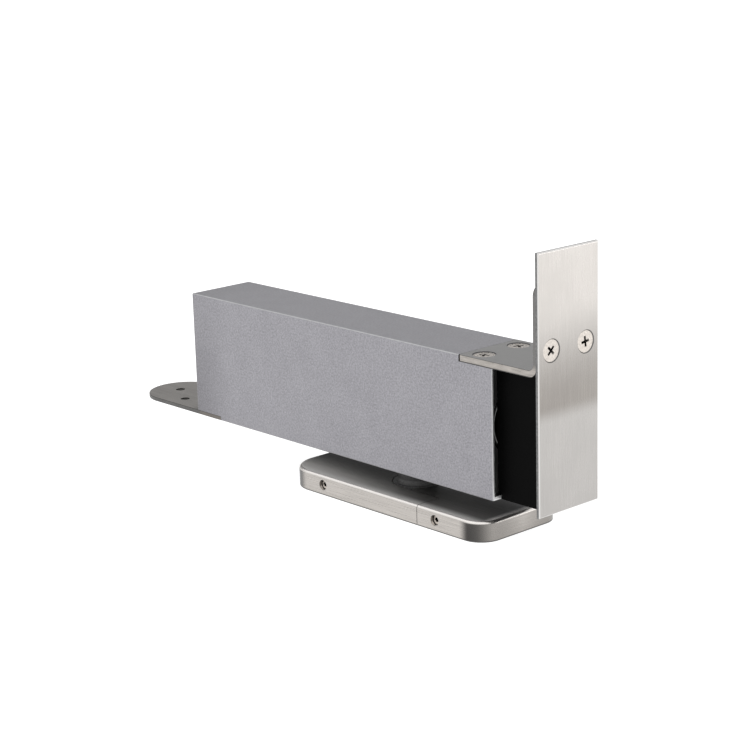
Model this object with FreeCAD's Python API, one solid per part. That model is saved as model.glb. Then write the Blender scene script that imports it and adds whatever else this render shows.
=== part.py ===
import FreeCAD, Part
import math
import os

V = FreeCAD.Vector

# Millimetres. The origin is on the spindle axis at floor level, +X runs along the housing to the end plate
# and +Z is up. The housing is drawn with the door closed.

# Housing
BODY_L = 200.0
BODY_W = 35.0
BODY_H = 60.0
BODY_EDGE_R = 0.5
FLOOR_TO_BODY = 17.5
PIVOT_TO_FRONT = 64.0
BORE_WALL = 3.5
TOP_WALL = 3.5
RECESS_IN = 2.0
RECESS_SIDE_WALL = 1.0
RECESS_LIP = 1.8

# End plugs, stepped out from the bore
PLUG_HEAD_STEP = 2.0
PLUG_HEAD_T = 3.0
PLUG_HEAD_GAP = 0.1
PLUG_EDGE = 1.6
PLUG_THREAD_STEP = 1.0
PLUG_THREAD_L = 5.0
PLUG_NOSE_L = 4.0
PLUG_GROOVE_DEPTH = 1.8
PLUG_GROOVE_W = 2.2
PLUG_WRENCH_R = 2.0
PLUG_WRENCH_AT = 10.0
PLUG_WRENCH_D = 2.0

# End plate, bracket and spacer block; rises are measured from the housing top
BRACKET_T = 3.0
BRACKET_LAP = 19.0
BRACKET_END_GAP = 0.15
BRACKET_CORNER = 0.7
BRACKET_EDGE_R = 0.25
LEG_T = 2.0
BEND_IN_R = 2.5
BEND_OUT_R = 4.5
LEG_RISE = 35.5
LEG_CORNER_R = 5.0
PLATE_T = 1.5
PLATE_W = 36.0
PLATE_H = 110.0
PLATE_DROP = 1.5
PLATE_EDGE_R = 0.7
BLOCK_L = 25.0
BLOCK_INSET = 5.0
SCREW_HALF_PITCH = 10.25
BRACKET_SCREW_BACK = 11.2
BRACKET_SCREW_L = 11.5
BRACKET_SCREW_TURNS = (25.0, 60.0)
PLATE_SCREW_RISE = 7.7
PLATE_SCREW_TURNS = (45.0, 8.0)
EDGE_HOLE_RISE = 23.5
EDGE_HOLE_SINK_R = 4.0

# Screws
M5_R = 2.5
M5_SINK_R = 5.0
M5_HEAD_R = 4.6
M5_PASS_R = 2.75
M4_R = 2.0
M4_SINK_R = 4.0
M4_HEAD_R = 3.75
M4_PASS_R = 2.2
THREAD_GAP = 0.05
SINK_GAP = 0.05
TIP_ROOM = 0.5
CROSS_W = 1.1
CROSS_DEPTH = 1.6
CROSS_SPAN = 1.0
CROSS_TAPER = 0.5
CAP_HEAD_R = 3.5
CAP_HEAD_H = 4.0
CAP_HEAD_GAP = 0.3
CAP_HEX = 3.0
CAP_HEX_D = 2.0
CAP_GRIP = 8.0
CAP_THREAD_L = 10.5

# Rear tab
TAB_T = 2.0
TAB_EDGE_R = 0.3
TAB_LAP = 18.0
TAB_REACH = 51.5
TAB_HOLE_R = 2.25
TAB_HOLE_SINK_R = 3.65
TAB_PCD = 21.5
TAB_PCD_OUT = 26.3
TAB_SCREW_IN = 8.0
TAB_SCREW_HALF_PITCH = 10.0
TAB_SCREW_L = 11.0

# Speed valves and oil passages
VALVE_BORE_R = 2.5
VALVE_GAP = 0.05
VALVE_SUNK = 0.5
VALVE_BODY_L = 11.0
VALVE_TIP_L = 2.6
VALVE_TIP_R = 0.6
VALVE_SHOULDER = 0.6
VALVE_GROOVE_DEPTH = 0.8
VALVE_GROOVE_W = 1.2
VALVE_GROOVE_AT = 5.0
VALVE_SLOT_W = 0.8
VALVE_SLOT_D = 1.0
ACCESS_GAP = 0.1
ACCESS_WALL = 1.1
PASSAGE_R = 1.25
PORT_EDGE = 0.05
CLOSING_PORT_IN = 3.5
LATCHING_PORT_IN = 4.0
PORT_PLUG_R = 2.0
PORT_PLUG_L = 4.0

# Spindle and pinion
MODULE = 1.25
TEETH = 12
SHIFT = 0.3
DEDENDUM = 1.25
PRESSURE = math.radians(20.0)
BACKLASH = 0.1
TIP_RELIEF = 0.125
FLANK_STEPS = 8
PINION_FACE = 20.0
SPINDLE_R = 9.0
NECK_GAP = 0.425
UPPER_STEP = 0.2
COLLAR_STEP = 2.0
COLLAR_T = 1.9
SQUARE = 12.0
SQUARE_GAP = 0.1
SOCKET_FLOOR = 3.2
BOLT_R = 3.0
BOLT_HEAD_R = 5.6
BOLT_PASS_R = 3.2
BOLT_SUNK = 0.3
BOLT_L = 12.7

# Bearings, seal and their rings
LOWER_WALL = 4.0
UPPER_WALL = 3.0
UPPER_BEARING_T = 8.0
WASHER_T = 2.0
BORE_CLEAR = 0.5
LOWER_SHOULDER = 1.0
PASS_GAP = 1.0
CLIP_UP = 1.0
CLIP_T = 1.2
CLIP_SIDE_GAP = 0.1
CLIP_GROOVE_DEPTH = 1.2
CLIP_INWARD = 1.4
CLIP_MOUTH = 7.0
CLIP_RIM_GAP = 0.1
SEAL_T = 4.2
SEAL_BED = 0.2
RUN_GAP = 0.03
SEAT_GAP = 0.02
FACE_GAP = 0.02

# Rack piston and spring pack
SWING_DEG = 110.0
PISTON_GAP = 0.05
WINDOW_ROOM = 0.6
WINDOW_SIDE_GAP = 0.7
FRONT_ROOM = 2.1
REAR_HEAD_L = 10.0
HEAD_FLAT_DEPTH = 1.4
SEAL_GROOVE_DEPTH = 2.0
SEAL_GROOVE_W = 3.0
SEAL_SIDE_GAP = 0.05
ROD_R = 5.0
ROD_THREAD_R = 4.0
ROD_THREAD_L = 7.0
ROD_PROUD = 0.5
SPRING_WIRE = 3.0
SPRING_SIDE_GAP = 2.0
SPRING_TURNS = 3.5
SPRING_END_GAP = 0.05
SPRING_GROUND = 0.75
STOP_T = 4.0
STOP_ROD_GAP = 0.6
STOP_OIL_WALL = 0.5
STOP_CLIP_T = 1.2
STOP_GROOVE_DEPTH = 1.0
STOP_CLIP_INWARD = 1.4
STOP_CLIP_MOUTH = 8.0
TAIL_SEAT_GAP = 1.5
TAIL_SEAT_T = 4.0
TAIL_ROOM = 1.0
NUT_ACROSS = 13.0
NUT_T = 6.0
NUT_GAP = 1.5

# Floor plate; reaches are measured from the spindle axis
COVER_REAR = 62.0
COVER_FRONT = 64.2
COVER_W = 49.4
COVER_H = 9.0
COVER_REAR_R = 15.5
COVER_FRONT_R = 10.0
COVER_EDGE_R = 1.5
COVER_WALL = 2.0
COVER_TOP_T = 1.5
COVER_GAP = 0.3
SEAM_X = 25.0
SEAM_GAP = 0.3
COLLAR_GAP = 0.5
TONGUE_IN = 3.5
TONGUE_GAP = 0.3
FLOOR_HOLE_R = 2.75
FLOOR_HOLE_SINK_R = 5.5
FLOOR_HOLE_X = 48.0
FLOOR_HOLE_Y = 13.0
COVER_SCREW_X = 36.0
COVER_SCREW_RISE = 1.0
COVER_SCREW_HOLE_R = 2.4
COVER_SCREW_L = 8.0
COVER_SCREW_SUNK = 1.5
COVER_SCREW_HEX = 2.0
COVER_SCREW_HEX_D = 2.0

# How far a cutter runs past the face that it opens
PAST = 1.0

# Positions that follow from the sizes
HALF_W = BODY_W / 2
BODY_Z0 = FLOOR_TO_BODY
BODY_Z1 = BODY_Z0 + BODY_H
FRONT_X = PIVOT_TO_FRONT
REAR_X = FRONT_X - BODY_L
SEAT_X = FRONT_X - RECESS_IN
BORE_R = HALF_W - BORE_WALL

UPPER_SEAT_Z1 = BODY_Z1 - TOP_WALL
SPINDLE_Z1 = UPPER_SEAT_Z1 - WASHER_T
UPPER_BEARING_Z1 = SPINDLE_Z1 - BORE_CLEAR
UPPER_BEARING_Z0 = UPPER_BEARING_Z1 - UPPER_BEARING_T
BORE_Z = UPPER_BEARING_Z0 - BORE_CLEAR - BORE_R
LOWER_SEAT_Z1 = BORE_Z - BORE_R - LOWER_SHOULDER
CLIP_GROOVE_Z0 = BODY_Z0 + CLIP_UP
CLIP_GROOVE_Z1 = CLIP_GROOVE_Z0 + CLIP_T + CLIP_SIDE_GAP
SEAL_Z0 = CLIP_GROOVE_Z1 + CLIP_SIDE_GAP
LOWER_BEARING_Z0 = SEAL_Z0 + SEAL_T + SEAL_BED

PLUG_L = PLUG_HEAD_T + PLUG_THREAD_L + PLUG_NOSE_L
PLUG_HEAD_R = BORE_R + PLUG_HEAD_STEP
PLUG_SEAT_R = PLUG_HEAD_R + PLUG_HEAD_GAP
PLUG_THREAD_R = BORE_R + PLUG_THREAD_STEP
PLUG_GROOVE_R = BORE_R - PLUG_GROOVE_DEPTH

LEG_X1 = FRONT_X + BLOCK_L
LEG_X0 = LEG_X1 - LEG_T
LEG_Z1 = BODY_Z1 + LEG_RISE
BRACKET_Z0 = BODY_Z1 - BRACKET_T
BRACKET_X0 = FRONT_X - BRACKET_LAP
BRACKET_SCREW_X = FRONT_X - BRACKET_SCREW_BACK
PLATE_X1 = LEG_X1 + PLATE_T
PLATE_SCREW_Z = BODY_Z1 + PLATE_SCREW_RISE
EDGE_HOLE_Z = BODY_Z1 + EDGE_HOLE_RISE
BLOCK_HALF_W = HALF_W - BLOCK_INSET
CAP_HOLE_R = CAP_HEAD_R + CAP_HEAD_GAP
LOW_BAND_Z = (BODY_Z0 + BORE_Z - PLUG_SEAT_R) / 2
HIGH_BAND_Z = (BORE_Z + PLUG_SEAT_R + BRACKET_Z0) / 2

TAB_X1 = REAR_X + TAB_LAP
TAB_Z1 = BODY_Z0 + TAB_T
TAB_SCREW_X = REAR_X + TAB_SCREW_IN
TAB_PCD_X = REAR_X - TAB_PCD_OUT

PITCH_R = MODULE * TEETH / 2
TIP_R = PITCH_R + MODULE * (1 + SHIFT) - TIP_RELIEF
ROOT_R = PITCH_R - MODULE * (DEDENDUM - SHIFT)
BASE_R = PITCH_R * math.cos(PRESSURE)
GEAR_Z0 = BORE_Z - PINION_FACE / 2
GEAR_Z1 = BORE_Z + PINION_FACE / 2
RACK_REF_Y = PITCH_R + MODULE * SHIFT
RACK_TIP_Y = RACK_REF_Y - MODULE
RACK_ROOT_Y = RACK_REF_Y + MODULE * DEDENDUM
NECK_R = RACK_TIP_Y - NECK_GAP
UPPER_R = NECK_R - UPPER_STEP
COLLAR_R = SPINDLE_R + COLLAR_STEP
LOWER_SEAT_R = SPINDLE_R + LOWER_WALL
UPPER_SEAT_R = UPPER_R + UPPER_WALL
LOWER_PASS_R = TIP_R + PASS_GAP

TRAVEL = PITCH_R * math.radians(SWING_DEG)
WINDOW = TIP_R + TRAVEL + WINDOW_ROOM
PISTON_R = BORE_R - PISTON_GAP
PISTON_X1 = SEAT_X - PLUG_L - FRONT_ROOM - TRAVEL
PISTON_X0 = -WINDOW - REAR_HEAD_L
SEAL_MID = (WINDOW + PISTON_X1) / 2
SEAL_GROOVE_R = BORE_R - SEAL_GROOVE_DEPTH
TAIL_X0 = REAR_X + PLUG_L + TAIL_ROOM + TRAVEL
TAIL_X1 = TAIL_X0 + TAIL_SEAT_T
NUT_X0 = TAIL_X0 - NUT_T
STOP_X0 = (TAIL_X1 + PISTON_X0 - STOP_T) / 2
STOP_X1 = STOP_X0 + STOP_T
STOP_BORE_R = ROD_R + STOP_ROD_GAP
STOP_GROOVE_R = BORE_R + STOP_GROOVE_DEPTH
SPRING_MEAN_R = BORE_R - SPRING_SIDE_GAP - SPRING_WIRE / 2
SPRING_IN_R = SPRING_MEAN_R - SPRING_WIRE / 2
STOP_OIL_AT = (SPRING_IN_R + STOP_BORE_R) / 2
STOP_OIL_R = (SPRING_IN_R - STOP_BORE_R) / 2 - STOP_OIL_WALL
REAR_CAVITY_R = NUT_ACROSS / math.sqrt(3) + NUT_GAP
REAR_CAVITY_D = NUT_T + 2 * ROD_PROUD - TAIL_ROOM + TIP_ROOM

VALVE_R = VALVE_BORE_R - VALVE_GAP
VALVE_X1 = SEAT_X - VALVE_SUNK
VALVE_X0 = VALVE_X1 - VALVE_BODY_L
VALVE_GROOVE_X = VALVE_X1 - VALVE_GROOVE_AT
VALVE_GROOVE_R = VALVE_BORE_R - VALVE_GROOVE_DEPTH
ACCESS_R = VALVE_BORE_R + ACCESS_GAP
VALVE_Y = BLOCK_HALF_W - ACCESS_WALL - ACCESS_R
CHAMBER_PORT_X = SEAT_X - PLUG_L - PASSAGE_R - PORT_EDGE
VALVE_BORE_X0 = CHAMBER_PORT_X - PASSAGE_R + PORT_EDGE
CLOSING_PORT_X = WINDOW - CLOSING_PORT_IN
LATCHING_PORT_X = PISTON_X1 - LATCHING_PORT_IN
PASSAGE_X0 = CLOSING_PORT_X - PASSAGE_R - PORT_EDGE

BASE_T = COVER_H - COVER_TOP_T - COVER_GAP
BASE_INSET = COVER_WALL + COVER_GAP
BASE_HALF_W = COVER_W / 2 - BASE_INSET
COLLAR_HOLE_R = COLLAR_R + COLLAR_GAP
COVER_SCREW_Z = BASE_T / 2 + COVER_SCREW_RISE
COVER_SCREW_Y = COVER_W / 2 - COVER_SCREW_SUNK


def both(value):
    return (-value, value)


def box(x0, x1, y0, y1, z0, z1):
    return Part.makeBox(x1 - x0, y1 - y0, z1 - z0, V(x0, y0, z0))


def rod_x(r, x0, x1, y=0.0, z=BORE_Z):
    return Part.makeCylinder(r, abs(x1 - x0), V(min(x0, x1), y, z), V(1, 0, 0))


def rod_y(r, y0, y1, x, z):
    return Part.makeCylinder(r, y1 - y0, V(x, y0, z), V(0, 1, 0))


def rod_z(r, z0, z1, x=0.0, y=0.0):
    return Part.makeCylinder(r, z1 - z0, V(x, y, z0), V(0, 0, 1))


def sink_z(r_mouth, r_neck, z, x, y, way):
    # A right-angled countersink with its mouth at z, opening up for way 1 and down for way -1.
    return Part.makeCone(r_mouth, r_neck, r_mouth - r_neck, V(x, y, z), V(0, 0, -way))


def sink_x(r_mouth, r_neck, x, y, z):
    return Part.makeCone(r_mouth, r_neck, r_mouth - r_neck, V(x, y, z), V(-1, 0, 0))


def ring_x(r_out, r_in, x0, x1):
    return rod_x(r_out, x0, x1).cut(rod_x(r_in, x0 - PAST, x1 + PAST))


def ring_z(r_out, r_in, z0, z1):
    return rod_z(r_out, z0, z1).cut(rod_z(r_in, z0 - PAST, z1 + PAST))


def o_ring(r_out, r_in, x, y, z):
    cord_r = (r_out - r_in) / 2 - SEAT_GAP
    return Part.makeTorus((r_out + r_in) / 2, cord_r, V(x, y, z), V(1, 0, 0))


def prism_z(points, z0, z1):
    wire = Part.makePolygon([V(x, y, z0) for x, y in points + points[:1]])
    return Part.Face(wire).extrude(V(0, 0, z1 - z0))


def hexagon(across, z0, z1):
    r = across / math.sqrt(3)
    angles = [k * math.pi / 3 for k in range(6)]
    return prism_z([(r * math.cos(a), r * math.sin(a)) for a in angles], z0, z1)


def floor_slab(inset, z0, z1):
    # The floor plate's outline, drawn in by the inset all round.
    x0 = inset - COVER_REAR
    x1 = COVER_FRONT - inset
    half_w = COVER_W / 2 - inset
    slab = box(x0, x1, -half_w, half_w, z0, z1)
    upright = [e for e in slab.Edges if e.BoundBox.ZLength > (z1 - z0) / 2]
    slab = slab.makeFillet(COVER_REAR_R - inset, [e for e in upright if e.BoundBox.XMax < 0])
    upright = [e for e in slab.Edges if e.BoundBox.XMin > x1 - PAST and e.BoundBox.ZLength > (z1 - z0) / 2]
    return slab.makeFillet(COVER_FRONT_R - inset, upright)


def turned(shape, pos, outward):
    out = shape.copy()
    out.Placement = FreeCAD.Placement(V(*pos), FreeCAD.Rotation(V(0, 0, 1), V(*outward)))
    return out


def cut_all(shape, cutters):
    for cutter in cutters:
        shape = shape.cut(cutter)
    return shape.Solids[0]


def cross_bar(half, turn):
    # One arm pair of a cross recess, narrowing with depth.
    low = half * CROSS_TAPER
    side = [(-half, PAST), (half, PAST), (half, 0.0), (low, -CROSS_DEPTH), (-low, -CROSS_DEPTH), (-half, 0.0)]
    wire = Part.makePolygon([V(x, -CROSS_W / 2, z) for x, z in side + side[:1]])
    bar = Part.Face(wire).extrude(V(0, CROSS_W, 0))
    bar.rotate(V(0, 0, 0), V(0, 0, 1), turn)
    return bar


def sunk_screw(head_r, shank_r, length, turn=0.0):
    # The head's face is at z = 0, looking up, and its cone has a right angle.
    head = sink_z(head_r, shank_r, 0.0, 0.0, 0.0, 1)
    screw = head.fuse(rod_z(shank_r, -length, shank_r - head_r)).removeSplitter()
    half = CROSS_SPAN * head_r / 2
    return cut_all(screw, [cross_bar(half, turn), cross_bar(half, turn + 90.0)])


def save(name, *solids):
    for s in solids:
        if s.ShapeType != "Solid" or not s.isValid():
            raise ValueError(name + " is not a sound solid")
    out = solids[0] if len(solids) == 1 else Part.makeCompound(list(solids))
    out.exportStep("parts/" + name + ".step")


def plug_seat(end_x, way):
    head = rod_x(PLUG_SEAT_R, end_x + way * PAST, end_x - way * PLUG_HEAD_T)
    thread = rod_x(PLUG_THREAD_R, end_x, end_x - way * (PLUG_HEAD_T + PLUG_THREAD_L))
    return [head, thread]


def spindle_seats():
    lower = rod_z(LOWER_SEAT_R, BODY_Z0 - PAST, LOWER_SEAT_Z1)
    passing = rod_z(LOWER_PASS_R, BODY_Z0, BORE_Z)
    groove = rod_z(LOWER_SEAT_R + CLIP_GROOVE_DEPTH, CLIP_GROOVE_Z0, CLIP_GROOVE_Z1)
    upper = rod_z(UPPER_SEAT_R, BORE_Z, UPPER_SEAT_Z1)
    return [lower, passing, groove, upper]


def passage_ports():
    spots = []
    for side, port_x in ((1, CLOSING_PORT_X), (-1, LATCHING_PORT_X)):
        spots += [(CHAMBER_PORT_X, side * VALVE_Y), (port_x, side * VALVE_Y)]
    return spots


def oil_passages():
    cutters = []
    for y in both(VALVE_Y):
        cutters.append(rod_x(VALVE_BORE_R, VALVE_BORE_X0, SEAT_X + PAST, y, LOW_BAND_Z))
        cutters.append(rod_x(PASSAGE_R, PASSAGE_X0, CHAMBER_PORT_X, y, LOW_BAND_Z))
    for x, y in passage_ports():
        cutters.append(rod_z(PASSAGE_R, BODY_Z0, BORE_Z - BORE_R / 2, x, y))
        cutters.append(rod_z(PORT_PLUG_R, BODY_Z0 - PAST, BODY_Z0 + PORT_PLUG_L, x, y))
    return cutters


def clip_places():
    return (STOP_X0 - STOP_CLIP_T, STOP_X1)


def thread_holes():
    cutters = []
    for y in both(SCREW_HALF_PITCH):
        cutters.append(rod_z(M5_R, BODY_Z1 - BRACKET_SCREW_L - TIP_ROOM, BODY_Z1, BRACKET_SCREW_X, y))
    for y in both(TAB_SCREW_HALF_PITCH):
        cutters.append(rod_z(M4_R, BODY_Z0, BODY_Z0 + TAB_SCREW_L + TIP_ROOM, TAB_SCREW_X, y))
    for z in (LOW_BAND_Z, HIGH_BAND_Z):
        cutters.append(rod_x(M4_R, SEAT_X - CAP_THREAD_L - TIP_ROOM, SEAT_X + PAST, 0.0, z))
    return cutters


def housing():
    block = box(REAR_X, FRONT_X, -HALF_W, HALF_W, BODY_Z0, BODY_Z1)
    block = block.makeFillet(BODY_EDGE_R, block.Edges)
    side = HALF_W + PAST
    recess = HALF_W - RECESS_SIDE_WALL
    cutters = [rod_x(BORE_R, REAR_X - PAST, FRONT_X + PAST)]
    notch_x0 = BRACKET_X0 - BRACKET_END_GAP
    cutters.append(box(notch_x0, FRONT_X + PAST, -side, side, BRACKET_Z0, BODY_Z1 + PAST))
    cutters.append(box(REAR_X - PAST, TAB_X1, -side, side, BODY_Z0 - PAST, TAB_Z1))
    cutters.append(box(SEAT_X, FRONT_X + PAST, -recess, recess, BODY_Z0 + RECESS_LIP, BRACKET_Z0))
    cutters += plug_seat(SEAT_X, 1)
    cutters += plug_seat(REAR_X, -1)
    cutters += spindle_seats()
    cutters += oil_passages()
    cutters += [rod_x(STOP_GROOVE_R, x, x + STOP_CLIP_T) for x in clip_places()]
    cutters += thread_holes()
    return cut_all(block, cutters)


def end_plug(end_x, way):
    face = V(end_x, 0.0, BORE_Z)
    head_in = end_x - way * PLUG_HEAD_T
    thread_in = head_in - way * PLUG_THREAD_L
    nose_in = thread_in - way * PLUG_NOSE_L
    head = rod_x(PLUG_HEAD_R, end_x, head_in)
    rim = [e for e in head.Edges if e.BoundBox.Center.distanceToPoint(face) < PLUG_EDGE]
    head = head.makeChamfer(PLUG_EDGE, rim)
    plug = head.fuse(rod_x(PLUG_THREAD_R - THREAD_GAP, head_in, thread_in))
    plug = plug.fuse(rod_x(BORE_R - THREAD_GAP, thread_in, nose_in))
    mid = (thread_in + nose_in) / 2
    cutters = [ring_x(BORE_R + PAST, PLUG_GROOVE_R, mid - PLUG_GROOVE_W / 2, mid + PLUG_GROOVE_W / 2)]
    hole_in = end_x - way * PLUG_WRENCH_D
    for up in both(PLUG_WRENCH_AT):
        cutters.append(rod_x(PLUG_WRENCH_R, end_x + way * PAST, hole_in, 0.0, BORE_Z + up))
    return cut_all(plug, cutters)


def rear_plug():
    inner = REAR_X + PLUG_L
    return cut_all(end_plug(REAR_X, -1), [rod_x(REAR_CAVITY_R, inner - REAR_CAVITY_D, inner + PAST)])


def plug_seals():
    reach = PLUG_L - PLUG_NOSE_L / 2
    return [o_ring(BORE_R, PLUG_GROOVE_R, x, 0.0, BORE_Z) for x in (REAR_X + reach, SEAT_X - reach)]


def bracket_blank():
    flat = box(BRACKET_X0, LEG_X1, -HALF_W, HALF_W, BRACKET_Z0, BODY_Z1)
    leg = box(LEG_X0, LEG_X1, -HALF_W, HALF_W, BRACKET_Z0, LEG_Z1)
    top = [e for e in leg.Edges if e.BoundBox.ZMin > BODY_Z1 and e.BoundBox.YLength < THREAD_GAP]
    blank = flat.fuse(leg.makeFillet(LEG_CORNER_R, top)).removeSplitter()

    def bend_edge(shape, x, z):
        middle = V(x, 0.0, z)
        return [e for e in shape.Edges if e.CenterOfMass.distanceToPoint(middle) < THREAD_GAP]

    blank = blank.makeFillet(BEND_IN_R, bend_edge(blank, LEG_X0, BODY_Z1))
    blank = blank.makeFillet(BEND_OUT_R, bend_edge(blank, LEG_X1, BRACKET_Z0))
    rims = [e for e in blank.Edges if e.BoundBox.YLength < THREAD_GAP]
    return blank.makeFillet(BRACKET_EDGE_R, rims)


def bracket_corners():
    # Wedges that break the two upright corners at the end of the flat.
    wedges = []
    back = BRACKET_X0 - PAST
    ahead = BRACKET_X0 + BRACKET_CORNER + PAST
    far = HALF_W + PAST
    near = HALF_W - BRACKET_CORNER - PAST
    for side in (-1, 1):
        points = [(back, side * near), (ahead, side * far), (back, side * far)]
        wedges.append(prism_z(points, BRACKET_Z0 - PAST, BODY_Z1 + PAST))
    return wedges


def bracket():
    cutters = bracket_corners()
    for y in both(SCREW_HALF_PITCH):
        cutters.append(rod_z(M5_PASS_R, BRACKET_Z0 - PAST, BODY_Z1, BRACKET_SCREW_X, y))
        cutters.append(sink_z(M5_SINK_R, M5_PASS_R, BODY_Z1, BRACKET_SCREW_X, y, 1))
        for z, mouth_r in ((PLATE_SCREW_Z, M5_SINK_R - PLATE_T), (EDGE_HOLE_Z, EDGE_HOLE_SINK_R)):
            cutters.append(rod_x(M5_R, LEG_X0 - PAST, LEG_X1 + PAST, y, z))
            cutters.append(sink_x(mouth_r, M5_R, LEG_X1, y, z))
    return cut_all(bracket_blank(), cutters)


def bracket_screws():
    top = BODY_Z1 - (M5_SINK_R - M5_HEAD_R) + SINK_GAP
    length = BRACKET_SCREW_L - BODY_Z1 + top
    screws = []
    for y, turn in zip(both(SCREW_HALF_PITCH), BRACKET_SCREW_TURNS):
        screw = sunk_screw(M5_HEAD_R, M5_R - THREAD_GAP, length, turn)
        screws.append(turned(screw, (BRACKET_SCREW_X, y, top), (0, 0, 1)))
    return screws


def end_plate():
    z0 = BODY_Z0 - PLATE_DROP
    plate = box(LEG_X1, PLATE_X1, -PLATE_W / 2, PLATE_W / 2, z0, z0 + PLATE_H)
    plate = plate.makeFillet(PLATE_EDGE_R, [e for e in plate.Edges if e.BoundBox.XMin > LEG_X1 + PLATE_T / 2])
    neck_r = M5_SINK_R - PLATE_T
    sinks = [sink_x(M5_SINK_R, neck_r, PLATE_X1, y, PLATE_SCREW_Z) for y in both(SCREW_HALF_PITCH)]
    return cut_all(plate, sinks)


def end_plate_screws():
    face = PLATE_X1 - (M5_SINK_R - M5_HEAD_R) + SINK_GAP
    length = face - LEG_X0 - THREAD_GAP
    screws = []
    for y, turn in zip(both(SCREW_HALF_PITCH), PLATE_SCREW_TURNS):
        screw = sunk_screw(M5_HEAD_R, M5_R - THREAD_GAP, length, turn)
        screws.append(turned(screw, (face, y, PLATE_SCREW_Z), (1, 0, 0)))
    return screws


def spacer_block():
    w = BLOCK_HALF_W
    inside = box(SEAT_X, LEG_X1, -w, w, BODY_Z0 + RECESS_LIP, BRACKET_Z0)
    block = inside.fuse(box(FRONT_X, LEG_X1, -w, w, BODY_Z0, BRACKET_Z0)).removeSplitter()
    cutters = []
    for z in (LOW_BAND_Z, HIGH_BAND_Z):
        cutters.append(rod_x(M4_PASS_R, SEAT_X - PAST, LEG_X1 + PAST, 0.0, z))
        cutters.append(rod_x(CAP_HOLE_R, SEAT_X + CAP_GRIP, LEG_X1 + PAST, 0.0, z))
    for y in both(VALVE_Y):
        cutters.append(rod_x(ACCESS_R, SEAT_X - PAST, LEG_X1 + PAST, y, LOW_BAND_Z))
    return cut_all(block, cutters)


def spacer_screws():
    shank = rod_z(M4_R - THREAD_GAP, -CAP_HEAD_H - CAP_GRIP - CAP_THREAD_L, -CAP_HEAD_H)
    screw = rod_z(CAP_HEAD_R, -CAP_HEAD_H, 0.0).fuse(shank)
    screw = cut_all(screw, [hexagon(CAP_HEX, -CAP_HEX_D, PAST)])
    face = SEAT_X + CAP_GRIP + CAP_HEAD_H
    return [turned(screw, (face, 0.0, z), (1, 0, 0)) for z in (LOW_BAND_Z, HIGH_BAND_Z)]


def rear_tab():
    round_x = REAR_X - TAB_REACH + HALF_W
    plate = box(round_x, TAB_X1, -HALF_W, HALF_W, BODY_Z0, TAB_Z1)
    plate = plate.fuse(rod_z(HALF_W, BODY_Z0, TAB_Z1, round_x, 0.0)).removeSplitter()
    rims = [e for e in plate.Edges if e.BoundBox.ZLength < TAB_T / 2 and e.BoundBox.XMin < TAB_X1 - PAST]
    plate = plate.makeFillet(TAB_EDGE_R, rims)
    cutters = []
    for k in range(3):
        a = math.pi * (2 * k + 1) / 3
        x = TAB_PCD_X + TAB_PCD / 2 * math.cos(a)
        y = TAB_PCD / 2 * math.sin(a)
        cutters.append(rod_z(TAB_HOLE_R, BODY_Z0 - PAST, TAB_Z1 + PAST, x, y))
        cutters.append(sink_z(TAB_HOLE_SINK_R, TAB_HOLE_R, BODY_Z0, x, y, -1))
    for y in both(TAB_SCREW_HALF_PITCH):
        cutters.append(rod_z(M4_PASS_R, BODY_Z0 - PAST, TAB_Z1 + PAST, TAB_SCREW_X, y))
        cutters.append(sink_z(M4_SINK_R, M4_PASS_R, BODY_Z0, TAB_SCREW_X, y, -1))
    return cut_all(plate, cutters)


def rear_tab_screws():
    face = BODY_Z0 + (M4_SINK_R - M4_HEAD_R) - SINK_GAP
    screw = sunk_screw(M4_HEAD_R, M4_R - THREAD_GAP, TAB_SCREW_L + BODY_Z0 - face)
    return [turned(screw, (TAB_SCREW_X, y, face), (0, 0, -1)) for y in both(TAB_SCREW_HALF_PITCH)]


def pinion():
    # Involute teeth, with a tooth space facing +Y.
    half_tooth = (MODULE * (math.pi / 2 + 2 * SHIFT * math.tan(PRESSURE)) - BACKLASH) / (2 * PITCH_R)
    step = 2 * math.pi / TEETH

    def involute(a):
        return math.tan(a) - a

    def half_angle(r):
        return half_tooth + involute(PRESSURE) - involute(math.acos(min(1.0, BASE_R / r)))

    def at(r, angle):
        return V(r * math.cos(angle), r * math.sin(angle), GEAR_Z0)

    def curve(points):
        spline = Part.BSplineCurve()
        spline.interpolate(points)
        return spline.toShape()

    flank = [BASE_R + (TIP_R - BASE_R) * k / FLANK_STEPS for k in range(FLANK_STEPS + 1)]
    low = half_angle(BASE_R)
    high = half_angle(TIP_R)
    edges = []
    for k in range(TEETH):
        mid = math.pi / 2 + (k + 0.5) * step
        gap = mid + step / 2
        edges.append(Part.makeLine(at(ROOT_R, mid - low), at(BASE_R, mid - low)))
        edges.append(curve([at(r, mid - half_angle(r)) for r in flank]))
        edges.append(Part.Arc(at(TIP_R, mid - high), at(TIP_R, mid), at(TIP_R, mid + high)).toShape())
        edges.append(curve([at(r, mid + half_angle(r)) for r in reversed(flank)]))
        edges.append(Part.makeLine(at(BASE_R, mid + low), at(ROOT_R, mid + low)))
        edges.append(Part.Arc(at(ROOT_R, mid + low), at(ROOT_R, gap), at(ROOT_R, mid + step - low)).toShape())
    return Part.Face(Part.Wire(edges)).extrude(V(0, 0, PINION_FACE))


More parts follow.
